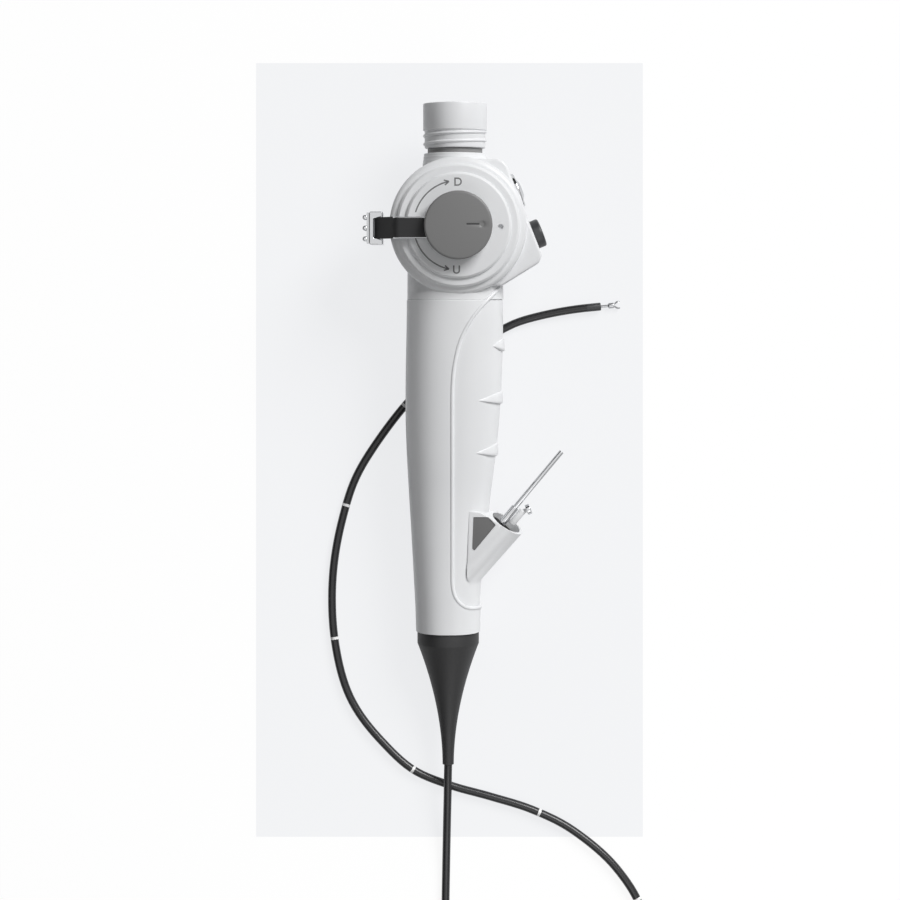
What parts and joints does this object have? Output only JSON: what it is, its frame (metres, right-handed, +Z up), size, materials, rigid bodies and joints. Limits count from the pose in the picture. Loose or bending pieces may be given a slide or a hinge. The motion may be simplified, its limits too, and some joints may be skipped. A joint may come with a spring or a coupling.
{
  "type": "flexible endoscope",
  "caption": "Flexible endoscope: grip with angulation lever, valve buttons and working channel port, thin insertion tube with a jointed tip, forceps at the end.",
  "frame": {"origin": "middle of the bottom of the handle's box, on the table that the instrument lies on; the insertion tube and what is on it are left out of the box", "axes": "+Y along the handle towards its video connector, +Z up from the table out of the lever's face, +X to the side of the buttons and the channel port"},
  "size_m": [0.1237, 0.3801, 0.0489],
  "materials": {
    "white_plastic": "satin moulded ABS",
    "grey_plastic": "fine moulded texture",
    "black_plastic": "fine moulded texture",
    "black_rubber": "matt moulded elastomer",
    "polished_steel": "polished stainless steel",
    "brushed_steel": "drawn stainless steel",
    "bronze": "turned bronze",
    "gold_contacts": "gold plated contacts on their board",
    "green_board": "solder mask over glass fibre",
    "lens_glass": "polished glass",
    "clear_tubing": "extruded fluoropolymer"
  },
  "bodies": {
    "handle": {"channel_tube": "clear_tubing", "clamp_knob": "black_plastic", "collar_seal_ring": "grey_plastic", "connector_collar": "white_plastic", "contact_carrier": "grey_plastic", "contact_pins": "gold_contacts", "control_board": "green_board", "cover_screw_1": "brushed_steel", "cover_screw_2": "brushed_steel", "cover_screw_3": "brushed_steel", "dial_bezel": "white_plastic", "dial_plate": "white_plastic", "far_axle_bush": "bronze", "far_cover": "white_plastic", "far_window_inlay": "grey_plastic", "finger_panel": "white_plastic", "function_bezel": "polished_steel", "function_switch": "grey_plastic", "grip_shell": "white_plastic", "head_housing": "white_plastic", "insertion_tube": "black_plastic", "instrument_sleeve": "polished_steel", "near_axle_bush": "bronze", "near_window_inlay": "grey_plastic", "port_liner": "grey_plastic", "port_seal": "black_rubber", "side_port": "white_plastic", "strain_relief": "black_rubber", "strain_relief_retainer": "grey_plastic", "suction_button_spring": "brushed_steel", "suction_valve_body": "grey_plastic", "wire_guide": "grey_plastic", "wire_sheath_down": "brushed_steel", "wire_sheath_up": "brushed_steel"},
    "lever": {"angulation_lever": "polished_steel", "thumb_plate": "polished_steel", "thumb_grip": "polished_steel", "lever_axle": "brushed_steel", "wire_drum": "grey_plastic"},
    "lock": {"lock_knob": "grey_plastic"},
    "wire_up": {"pull_wire_up": "brushed_steel"},
    "wire_down": {"pull_wire_down": "brushed_steel"},
    "suction_valve": {"suction_button": "black_plastic", "suction_valve_stem": "brushed_steel"},
    "function_key": {"function_button": "white_plastic"},
    "instrument": {"instrument_tube": "polished_steel"},
    "forceps": {"forceps_shaft": "brushed_steel", "jaw_pin": "brushed_steel"},
    "jaw_a": {"upper_jaw": "brushed_steel"},
    "jaw_b": {"lower_jaw": "brushed_steel"},
    "tip": {"distal_tip": "black_plastic", "camera_lens": "lens_glass"},
    "link_1": {"bending_link_1": "brushed_steel"},
    "link_2": {"bending_link_2": "brushed_steel"},
    "link_3": {"bending_link_3": "brushed_steel"},
    "link_4": {"bending_link_4": "brushed_steel"},
    "link_5": {"bending_link_5": "brushed_steel"},
    "link_6": {"bending_link_6": "brushed_steel"},
    "link_7": {"bending_link_7": "brushed_steel"}
  },
  "joints": [
    {"name": "lever_turn", "type": "hinge", "parent": "handle", "child": "lever", "pos_m": [-0.00222, 0.07659, 0.02379], "axis": [0, -0.0802, 0.9968], "range_deg": [-19.5, 27]},
    {"name": "lock_knob_turn", "type": "hinge", "parent": "handle", "child": "lock", "pos_m": [-0.00222, 0.07659, 0.02379], "axis": [0, 0.0802, -0.9968], "range_deg": [0, 60]},
    {"name": "wire_up_pull", "type": "slide", "parent": "handle", "child": "wire_up", "axis": [0, 0.9968, 0.0802], "range_m": [-0.00275, 0.0038]},
    {"name": "wire_down_pull", "type": "slide", "parent": "handle", "child": "wire_down", "axis": [0, 0.9968, 0.0802], "range_m": [-0.0038, 0.00275]},
    {"name": "suction_button_press", "type": "slide", "parent": "handle", "child": "suction_valve", "axis": [-0.9294, -0.368, -0.0296], "range_m": [0, 0.002], "stiffness_N_per_m": 400, "springref_m": -0.001},
    {"name": "function_button_press", "type": "slide", "parent": "handle", "child": "function_key", "axis": [-0.9294, -0.368, -0.0296], "range_m": [0, 0.0008], "stiffness_N_per_m": 800, "springref_m": -0.0005},
    {"name": "bend_1", "type": "hinge", "parent": "handle", "child": "link_1", "pos_m": [0.02418, 0.04419, 0.0015], "axis": [0, 0, 1], "range_deg": [-22.5, 16.25]},
    {"name": "bend_2", "type": "hinge", "parent": "link_1", "child": "link_2", "pos_m": [0.02718, 0.04497, 0.0015], "axis": [0, 0, 1], "range_deg": [-22.5, 16.25]},
    {"name": "bend_3", "type": "hinge", "parent": "link_2", "child": "link_3", "pos_m": [0.03019, 0.04569, 0.0015], "axis": [0, 0, 1], "range_deg": [-22.5, 16.25]},
    {"name": "bend_4", "type": "hinge", "parent": "link_3", "child": "link_4", "pos_m": [0.03322, 0.04634, 0.0015], "axis": [0, 0, 1], "range_deg": [-22.5, 16.25]},
    {"name": "bend_5", "type": "hinge", "parent": "link_4", "child": "link_5", "pos_m": [0.03627, 0.04692, 0.0015], "axis": [0, 0, 1], "range_deg": [-22.5, 16.25]},
    {"name": "bend_6", "type": "hinge", "parent": "link_5", "child": "link_6", "pos_m": [0.03933, 0.04743, 0.0015], "axis": [0, 0, 1], "range_deg": [-22.5, 16.25]},
    {"name": "bend_7", "type": "hinge", "parent": "link_6", "child": "link_7", "pos_m": [0.0424, 0.04788, 0.0015], "axis": [0, 0, 1], "range_deg": [-22.5, 16.25]},
    {"name": "bend_8", "type": "hinge", "parent": "link_7", "child": "tip", "pos_m": [0.04547, 0.04825, 0.0015], "axis": [0, 0, 1], "range_deg": [-22.5, 16.25]},
    {"name": "instrument_slide", "type": "slide", "parent": "handle", "child": "instrument", "axis": [0.6388, 0.7669, 0.0617], "range_m": [-0.003, 0.002]},
    {"name": "forceps_slide", "type": "slide", "parent": "tip", "child": "forceps", "axis": [0.9952, 0.0976, 0], "range_m": [-0.002, 0.003]},
    {"name": "upper_jaw_turn", "type": "hinge", "parent": "forceps", "child": "jaw_a", "pos_m": [0.05597, 0.04928, 0.001], "axis": [0, 0, 1], "range_deg": [-20, 12]},
    {"name": "lower_jaw_turn", "type": "hinge", "parent": "forceps", "child": "jaw_b", "pos_m": [0.05597, 0.04928, 0.001], "axis": [0, 0, 1], "range_deg": [-12, 20]}
  ],
  "couplings": [
    {"joint": "wire_up_pull", "follows": "lever_turn", "m_per_rad": 0.00805},
    {"joint": "wire_down_pull", "follows": "lever_turn", "m_per_rad": -0.00805},
    {"joint": "bend_1", "follows": "lever_turn", "ratio": -0.83333},
    {"joint": "bend_2", "follows": "lever_turn", "ratio": -0.83333},
    {"joint": "bend_3", "follows": "lever_turn", "ratio": -0.83333},
    {"joint": "bend_4", "follows": "lever_turn", "ratio": -0.83333},
    {"joint": "bend_5", "follows": "lever_turn", "ratio": -0.83333},
    {"joint": "bend_6", "follows": "lever_turn", "ratio": -0.83333},
    {"joint": "bend_7", "follows": "lever_turn", "ratio": -0.83333},
    {"joint": "bend_8", "follows": "lever_turn", "ratio": -0.83333},
    {"joint": "forceps_slide", "follows": "instrument_slide", "ratio": -1},
    {"joint": "lower_jaw_turn", "follows": "upper_jaw_turn", "ratio": -1}
  ]
}
